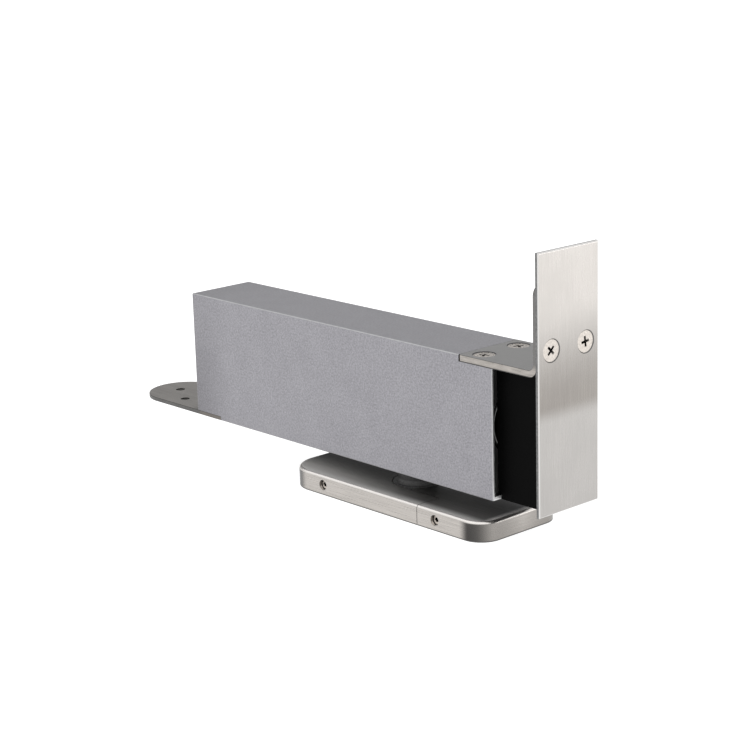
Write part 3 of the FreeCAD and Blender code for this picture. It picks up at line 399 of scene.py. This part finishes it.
def plate_steel():
    """Satin plate with a painted reflection up its height: a paler upper half and a dark band across the
    middle. Painted highlights on the rounded rims; painted shade on the rims facing +Y, in the countersinks
    and on the cut sides, which are rougher.
    """
    low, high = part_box("end_plate")
    f = Finish("plate_steel")

    def up(shares):
        return f.fade(f.at["Z"], *(low.z + share * (high.z - low.z) for share in shares))

    lines = f.hairlines("Z")
    tone = f.blend(PLATE_PATCH_SHARE, lines, f.noise(scale=45.0, detail=3.0))
    colour = f.ramp(tone, *PLATE_TONES)
    # Painted reflection: the upper half paler
    colour = f.mix(up(PLATE_UPPER_REFLECTION_FADE), colour, f.ramp(tone, *PLATE_UPPER_REFLECTION_TONES))
    # Painted reflection: a dark band across the middle
    band = f.every(up(PLATE_REFLECTION_BAND_FOOT), up(PLATE_REFLECTION_BAND_HEAD))
    colour = f.mix(band, colour, f.ramp(tone, *PLATE_REFLECTION_BAND_TONES))
    edges = f.edges()
    # Painted highlight on the rounded rims
    colour = f.mix(edges, colour, PLATE_RIM_HIGHLIGHT_TONE)
    # Painted shade on the rims that face +Y
    far_rim_shade = f.every(edges, f.fade(f.looking["Y"], *PLATE_FAR_RIM_SHADE_FADE))
    colour = f.mix(far_rim_shade, colour, PLATE_FAR_RIM_SHADE_TONE)
    # Painted shade in the countersinks: rounded faces inside the plate's border
    inside = f.every(f.fade(f.distance("Y"), high.y - PLATE_RIM, high.y - PLATE_RIM_END),
                     f.fade(f.at["Z"], high.z - PLATE_RIM, high.z - PLATE_RIM_END),
                     f.fade(f.at["Z"], low.z + PLATE_RIM, low.z + PLATE_RIM_END))
    colour = f.mix(f.every(edges, inside), colour, PLATE_SINK_SHADE_TONE)
    # The cut sides and ends are rougher; painted shade darkens the sides, the ends take their own tone
    ends = f.fade(f.facing["Z"], *FACE_ON)
    side = f.either(f.fade(f.facing["Y"], *FACE_ON), ends)
    colour = f.mix(side, colour, f.ramp(f.noise(scale=900.0), *PLATE_SIDE_SHADE_TONES))
    colour = f.mix(ends, colour, PLATE_END_TONE)
    rough = f.blend(side, f.spread(tone, *PLATE_ROUGH), f.spread(lines, *PLATE_SIDE_ROUGH))
    return f.finish(colour, rough, lines, strength=0.1, depth=FINE_DEPTH)


def bracket_steel():
    """Dull flats and bright sheared edges. Painted shade on the rounded edges and in the countersinks, on the
    sheared sides of the upright leg and in a line along the bottom of the sheared sides.
    """
    foot_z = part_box("top_bracket")[0].z
    body_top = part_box("housing")[1].z
    f = Finish("bracket_steel")
    grain = f.noise(scale=2600.0, detail=3.0)
    lines = f.noise(scale=1300.0, detail=3.0, stretch=(BRACKET_LINE_STRETCH, 1.0, 1.0))
    colour = f.ramp(grain, *BRACKET_TONES)
    # Painted shade on the rounded edges and in the countersinks
    colour = f.mix(f.edges(), colour, BRACKET_EDGE_SHADE_TONE)
    sheared = f.fade(f.facing["Y"], *FACE_ON)
    colour = f.mix(sheared, colour, f.ramp(lines, *BRACKET_SHEARED_TONES))
    # Painted shade on the sheared sides of the upright leg
    leg = f.every(sheared, f.fade(f.at["Z"], body_top, body_top + BRACKET_LEG_FADE))
    colour = f.mix(leg, colour, BRACKET_LEG_SHADE_TONE)
    # Painted shadow: a dark line along the bottom of the sheared sides
    foot = f.every(sheared, f.fade(f.at["Z"], foot_z + 2 * BRACKET_FOOT, foot_z + BRACKET_FOOT))
    colour = f.mix(foot, colour, BRACKET_FOOT_SHADE_TONE)
    rough = f.blend(sheared, f.spread(grain, *BRACKET_ROUGH), f.spread(lines, *BRACKET_SHEARED_ROUGH))
    return f.finish(colour, rough, grain, strength=0.25, depth=GRAIN_DEPTH)


def tab_steel():
    """Dull rolled strip. Painted shade darkens a line above its cut edge, the holes and the strip along the
    housing.
    """
    low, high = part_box("rear_tab")
    body_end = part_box("housing")[0].x
    f = Finish("tab_steel")
    grain = f.noise(scale=1500.0, detail=4.0)
    tone = f.blend(TAB_PATCH_SHARE, grain, f.noise(scale=110.0, detail=3.0))
    streaks = f.noise(scale=500.0, detail=3.0, stretch=(TAB_STREAK_STRETCH, 1.0, 1.0))
    colour = f.ramp(f.blend(TAB_STREAK_SHARE, tone, streaks), *TAB_TONES)
    # Painted shade along the housing, streaked
    housing_shade = f.every(f.fade(f.at["X"], body_end - TAB_HOUSING_SHADE_LENGTH, body_end),
                   f.fade(streaks, *TAB_HOUSING_SHADE_FADE, TAB_HOUSING_SHADE_LEAST, 1.0))
    colour = f.mix(housing_shade, colour, TAB_HOUSING_SHADE_TONE)
    # Painted shade: a dark line on the rounded break above the cut edge
    colour = f.mix(f.fade(f.facing["Z"], *TAB_BREAK_SHADE_FADE), colour, TAB_BREAK_SHADE_TONE)
    cut = f.fade(f.facing["Z"], *TAB_CUT_FADE)
    held = f.fade(f.at["X"], body_end - TAB_FREE_END, body_end + TAB_HELD_START)
    cut_tone = f.mix(held, f.ramp(tone, *TAB_FREE_CUT_TONES), f.ramp(tone, *TAB_HELD_CUT_TONES))
    colour = f.mix(cut, colour, cut_tone)
    # Painted shade in the holes: cut faces inside the tab's border
    side = high.y - TAB_SIDE
    nose = low.x + TAB_NOSE
    inside = f.every(f.fade(f.distance("Y"), side, side - TAB_INSIDE_FADE),
                     f.fade(f.at["X"], nose, nose + TAB_INSIDE_FADE))
    colour = f.mix(f.every(cut, inside), colour, TAB_HOLE_SHADE_TONE)
    return f.finish(colour, f.spread(grain, *TAB_ROUGH), grain, strength=0.3, depth=GRAIN_DEPTH)


def cover_steel():
    """Brushed, with painted highlights on the top rims and painted reflections: a dark top, darkest along the
    middle and toward the front, paling to the rear and near the side and front edges, and dark rounded
    corners. Painted shade darkens the ends toward the sides and the bottom edge.
    """
    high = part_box("short_floor_cover")[1]
    f = Finish("cover_steel")
    across = f.distance("Y")
    lines = f.blend(f.fade(f.facing["X"], *COVER_LINE_TURN), f.hairlines("X"), f.hairlines("Y"))
    colour = f.ramp(lines, *COVER_TONES)
    # Painted shade on the ends, darker toward the sides
    end = f.every(f.fade(f.facing["X"], *COVER_END_TURN), f.fade(across, *COVER_END_SHADE_FADE))
    colour = f.mix(end, colour, COVER_END_SHADE_TONE)
    # Painted reflection: dark bands on the rounded front and rear corners
    front = f.every(f.fade(f.at["X"], high.x - COVER_FRONT_START, high.x - COVER_FRONT_FULL),
                    f.fade(f.facing["Y"], *COVER_FRONT_TURN))
    rear = f.every(f.fade(f.at["X"], *COVER_REAR_FADE),
                   f.fade(f.facing["X"], *COVER_REAR_START_TURN),
                   f.fade(f.facing["Y"], *COVER_REAR_END_TURN))
    upright = f.fade(f.facing["Z"], *COVER_UPRIGHT_TURN)
    colour = f.mix(f.every(f.either(front, rear), upright), colour, COVER_CORNER_REFLECTION_TONE)
    # Painted shadow along the bottom edge
    foot = f.every(f.fade(f.at["Z"], *COVER_FOOT_SHADE_FADE), upright)
    colour = f.mix(foot, colour, COVER_FOOT_SHADE_TONE)
    # Painted highlight on the rounded top rims
    rim = f.every(f.fade(f.looking["Z"], *COVER_RIM_START_TURN), f.fade(f.looking["Z"], *COVER_RIM_END_TURN))
    colour = f.mix(rim, colour, COVER_RIM_HIGHLIGHT_TONE)
    # Painted reflection on the top: dark toward the front, paler to the rear, with patches and hairlines
    rearward = f.fade(f.at["X"], *COVER_TOP_REFLECTION_FADE)
    reflection_blend = f.blend(COVER_TOP_REFLECTION_PATCH_SHARE, rearward, f.noise(scale=160.0, detail=4.0))
    reflection_blend = f.blend(COVER_TOP_REFLECTION_LINE_SHARE, reflection_blend, lines)
    top_reflection = f.ramp(reflection_blend, *COVER_TOP_REFLECTION_TONES, *COVER_TOP_REFLECTION_STOPS)
    # Painted reflection, darkest along the middle, beneath the housing
    top_reflection = f.mix(f.fade(across, *COVER_MIDDLE_REFLECTION_FADE), top_reflection, COVER_MIDDLE_REFLECTION_TONE)
    # Painted reflection, pale near the side and front edges of the top
    side_brightening = f.fade(across, high.y - COVER_SIDE_LIGHT_START, high.y - COVER_SIDE_LIGHT_FULL)
    end_brightening = f.fade(f.at["X"], high.x - COVER_END_LIGHT_START, high.x - COVER_END_LIGHT_FULL)
    top_reflection = f.mix(f.either(side_brightening, end_brightening), top_reflection, COVER_TOP_EDGE_LIGHT_TONE)
    # The painted reflection covers the top faces, which are also less metallic and rougher
    top = f.fade(f.looking["Z"], *COVER_TOP_TURN)
    colour = f.mix(top, colour, top_reflection)
    f.feed(f.shader.inputs["Metallic"], f.blend(top, 1.0, COVER_TOP_METALLIC))
    rough = f.blend(top, f.spread(lines, *COVER_ROUGH), f.spread(lines, *COVER_TOP_ROUGH))
    return f.finish(colour, rough, lines, strength=0.15, depth=FINE_DEPTH)


def screw_steel(node, axis, way):
    """Bright plated heads with painted shade in their recesses. The heads look along the axis: up it, down it
    or both ways.
    """
    low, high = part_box(node)
    place = "XYZ".index(axis)
    f = Finish(node + "_steel")
    grain = f.noise(scale=1100.0, detail=3.0)
    colour = f.ramp(grain, *SCREW_TONES)
    if way == "both":
        along, face = f.distance(axis), high[place]
    elif way == "up":
        along, face = f.at[axis], high[place]
    else:
        along, face = f.calculate("MULTIPLY", f.at[axis], -1.0), -low[place]
    # Painted shade in the recess and on its walls
    sunk = f.fade(along, face - SCREW_RECESS_START, face - SCREW_RECESS_FULL)
    recess = f.either(f.fade(f.facing[axis], *SCREW_WALL_TURN), sunk)
    colour = f.mix(recess, colour, SCREW_RECESS_SHADE_TONE)
    return f.finish(colour, f.spread(grain, *SCREW_ROUGH), grain, strength=0.2, depth=FINE_DEPTH)


def black_steel():
    """Blackened steel. Painted shade darkens it above the floor covers, beneath the housing; it is lighter
    where it stands in the covers.
    """
    cover_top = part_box("long_floor_cover")[1].z
    f = Finish("black_steel", SPINDLE_METALLIC)
    grain = f.noise(scale=2200.0, detail=3.0)
    # Painted shade above the floor covers; lighter tones from just above the covers down
    colour = f.ramp(grain, *SPINDLE_SHADED_TONES)
    lower_part = f.fade(f.at["Z"], cover_top + SPINDLE_LOWER_START, cover_top + SPINDLE_LOWER_FULL)
    colour = f.mix(lower_part, colour, f.ramp(grain, *SPINDLE_LOWER_TONES))
    return f.finish(colour, f.spread(grain, *SPINDLE_ROUGH), grain, strength=0.3, depth=GRAIN_DEPTH)


def plug_steel():
    """Blackened plugs with a painted highlight ring where the bevel starts."""
    low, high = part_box("front_end_plug")
    middle_z = (low.z + high.z) / 2
    head_r = (high.y - low.y) / 2
    f = Finish("plug_steel")
    grain = f.noise(scale=2200.0, detail=3.0)
    colour = f.ramp(grain, *PLUG_TONES)
    lift = f.calculate("SUBTRACT", f.at["Z"], middle_z)
    squares = f.calculate("ADD", f.every(lift, lift), f.every(f.at["Y"], f.at["Y"]))
    out = f.calculate("SQRT", squares)
    # Painted highlight: a ring where the bevel starts
    ring = f.every(f.fade(out, *(head_r - inset for inset in PLUG_RING_INNER)),
                   f.fade(out, *(head_r - inset for inset in PLUG_RING_OUTER)))
    colour = f.mix(ring, colour, PLUG_RING_HIGHLIGHT_TONE)
    return f.finish(colour, f.spread(grain, *PLUG_ROUGH), grain, strength=0.2, depth=GRAIN_DEPTH)


def machined_steel():
    f = Finish("machined_steel")
    lines = f.hairlines("Z")
    colour = f.ramp(lines, *MACHINED_TONES)
    colour = f.mix(f.edges(), colour, MACHINED_EDGE_TONE)
    return f.finish(colour, f.spread(lines, *MACHINED_ROUGH), lines, strength=0.2, depth=FINE_DEPTH)


def grained_metal(name, tones, rough, scale):
    f = Finish(name)
    grain = f.noise(scale, detail=4.0)
    return f.finish(f.ramp(grain, *tones), f.spread(grain, *rough), grain, strength=0.35, depth=FINE_DEPTH)


def moulded(name, tones, rough):
    """Plastic or rubber with a fine moulded skin."""
    f = Finish(name, metallic=0.0)
    f.shader.inputs["Specular IOR Level"].default_value = MOULDED_GLOSS
    skin = f.noise(scale=2500.0, detail=3.0)
    return f.finish(f.ramp(skin, *tones), f.spread(skin, *rough), skin, strength=0.3, depth=MOULDED_DEPTH)


steel = machined_steel()
spring_steel = grained_metal("spring_steel", SPRING_TONES, SPRING_ROUGH, scale=2000.0)
bronze = grained_metal("bearing_bronze", BRONZE_TONES, BRONZE_ROUGH, scale=1500.0)
rubber = moulded("seal_rubber", RUBBER_TONES, RUBBER_ROUGH)

dress(body_alloy(), "housing")
dress(plate_steel(), "end_plate")
dress(bracket_steel(), "top_bracket")
dress(tab_steel(), "rear_tab")
dress(cover_steel(), "long_floor_cover", "short_floor_cover")
for screws, screw_axis, heads_look in (
    ("bracket_screws", "Z", "up"),
    ("rear_tab_screws", "Z", "down"),
    ("spindle_bolt", "Z", "down"),
    ("end_plate_screws", "X", "up"),
    ("spacer_screws", "X", "up"),
    ("cover_screws", "Y", "both"),
):
    dress(screw_steel(screws, screw_axis, heads_look), screws)
dress(moulded("black_block", BLOCK_TONES, BLOCK_ROUGH), "spacer_block")
dress(plug_steel(), "front_end_plug", "rear_end_plug")
dress(black_steel(), "spindle")
dress(steel, "floor_base_plate", "rack_piston", "spring_rod", "tail_spring_seat", "rod_nut", "spring_stop")
dress(steel, "passage_plugs", "closing_valve", "latching_valve")
dress(spring_steel, "stop_circlips", "seal_circlip")
dress(bronze, "lower_bearing", "upper_bearing", "thrust_washer")
dress(rubber, "spindle_seal", "plug_o_rings", "valve_o_rings", "piston_seal")


def coil_mesh(name, fixed_end, moving_end, axis_z):
    mesh = bmesh.new()
    reach = moving_end - fixed_end
    way = math.copysign(1.0, reach)
    start = fixed_end + way * SPRING_WIRE / 2
    rise = reach - way * SPRING_WIRE
    count = int(SPRING_TURNS * SPRING_STEPS)
    rings = []
    for k in range(count + 1):
        turn = 2 * math.pi * SPRING_TURNS * k / count
        out = Vector((0.0, math.cos(turn), math.sin(turn)))
        centre = out * SPRING_R + Vector((start + rise * k / count, 0.0, axis_z))
        ring = []
        for side in range(WIRE_SIDES):
            a = 2 * math.pi * side / WIRE_SIDES
            offset = (out * math.cos(a) + Vector((1.0, 0.0, 0.0)) * math.sin(a)) * SPRING_WIRE / 2
            ring.append(mesh.verts.new(centre + offset))
        rings.append(ring)
    for first, second in zip(rings, rings[1:]):
        for side in range(WIRE_SIDES):
            after = (side + 1) % WIRE_SIDES
            mesh.faces.new((first[side], first[after], second[after], second[side]))
    mesh.faces.new(rings[0])
    mesh.faces.new(list(reversed(rings[-1])))
    bmesh.ops.recalc_face_normals(mesh, faces=mesh.faces)
    data = bpy.data.meshes.new(name)
    mesh.to_mesh(data)
    mesh.free()
    data.shade_smooth()
    return data


def coil_spring(name, fixed_end, moving_end, axis_z):
    """A coil between two seats on the X axis, drawn from the end at the housing to the end at the piston."""
    data = coil_mesh(name, fixed_end, moving_end, axis_z)
    data.materials.append(spring_steel)
    piece = bpy.data.objects.new(name, data)
    bpy.context.scene.collection.objects.link(piece)
    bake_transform(piece)
    return piece


bore_low, bore_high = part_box("rack_piston")
bore_z = (bore_low.z + bore_high.z) / 2
front_low, front_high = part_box("front_spring")
rear_low, rear_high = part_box("rear_spring")
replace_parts(coil_spring("front_coil", front_low.x, front_high.x, bore_z), "front_spring")
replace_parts(coil_spring("rear_coil", rear_high.x, rear_low.x, bore_z), "rear_spring")


def studio_floor():
    mesh = bpy.data.meshes.new("studio_floor")
    corners = [(-FLOOR_REACH, -FLOOR_REACH, 0), (FLOOR_REACH, -FLOOR_REACH, 0),
               (FLOOR_REACH, FLOOR_REACH, 0), (-FLOOR_REACH, FLOOR_REACH, 0)]
    mesh.from_pydata(corners, [], [(0, 1, 2, 3)])
    made = bpy.data.materials.new("pale_floor")
    made.use_nodes = True
    shader = made.node_tree.nodes["Principled BSDF"]
    shader.inputs["Base Color"].default_value = FLOOR_TONE
    shader.inputs["Emission Color"].default_value = WHITE
    shader.inputs["Emission Strength"].default_value = FLOOR_GLOW
    shader.inputs["Roughness"].default_value = FLOOR_ROUGH
    mesh.materials.append(made)
    floor = bpy.data.objects.new("studio_floor", mesh)
    bpy.context.scene.collection.objects.link(floor)


def soft_light():
    data = bpy.data.lights.new("side", "AREA")
    data.shape = "RECTANGLE"
    data.size, data.size_y = LAMP_SIZE
    data.energy = LAMP_POWER
    lamp = bpy.data.objects.new("side", data)
    lamp.location = LAMP_AT
    lamp.rotation_euler = (Vector(LAMP_AIM) - Vector(LAMP_AT)).to_track_quat("-Z", "Y").to_euler()
    bpy.context.scene.collection.objects.link(lamp)


def studio_world():
    """A pale surround that brightens overhead, like a wide ceiling panel, and dims towards the back."""
    world = bpy.data.worlds.new("studio")
    bpy.context.scene.world = world
    world.use_nodes = True
    tree = world.node_tree
    way = tree.nodes.new("ShaderNodeTexCoord")
    split = tree.nodes.new("ShaderNodeSeparateXYZ")
    dim = tree.nodes.new("ShaderNodeMapRange")
    dim.inputs["From Min"].default_value, dim.inputs["From Max"].default_value = SKY_FAR_FADE
    dim.inputs["To Min"].default_value = SKY_NEAR
    dim.inputs["To Max"].default_value = SKY_FAR
    rise = tree.nodes.new("ShaderNodeMapRange")
    rise.interpolation_type = "SMOOTHSTEP"
    rise.inputs["From Min"].default_value, rise.inputs["From Max"].default_value = SKY_TOP_FADE
    rise.inputs["To Max"].default_value = SKY_TOP
    back = tree.nodes["Background"]
    back.inputs["Color"].default_value = WHITE
    tree.links.new(way.outputs["Generated"], split.inputs["Vector"])
    tree.links.new(split.outputs["Z"], rise.inputs["Value"])
    tree.links.new(split.outputs["Y"], dim.inputs["Value"])
    tree.links.new(dim.outputs["Result"], rise.inputs["To Min"])
    tree.links.new(rise.outputs["Result"], back.inputs["Strength"])


def photo_camera():
    data = bpy.data.cameras.new("camera")
    data.lens = CAMERA_LENS
    data.sensor_width = SENSOR
    camera = bpy.data.objects.new("camera", data)
    level = (CAMERA_AIM - CAMERA_AT).to_track_quat("-Z", "Y")
    camera.location = CAMERA_AT
    camera.rotation_mode = "QUATERNION"
    camera.rotation_quaternion = level @ Quaternion((0.0, 0.0, 1.0), CAMERA_ROLL)
    bpy.context.scene.collection.objects.link(camera)
    bpy.context.scene.camera = camera


studio_floor()
studio_world()
soft_light()
bpy.context.scene.view_settings.view_transform = "Standard"
photo_camera()
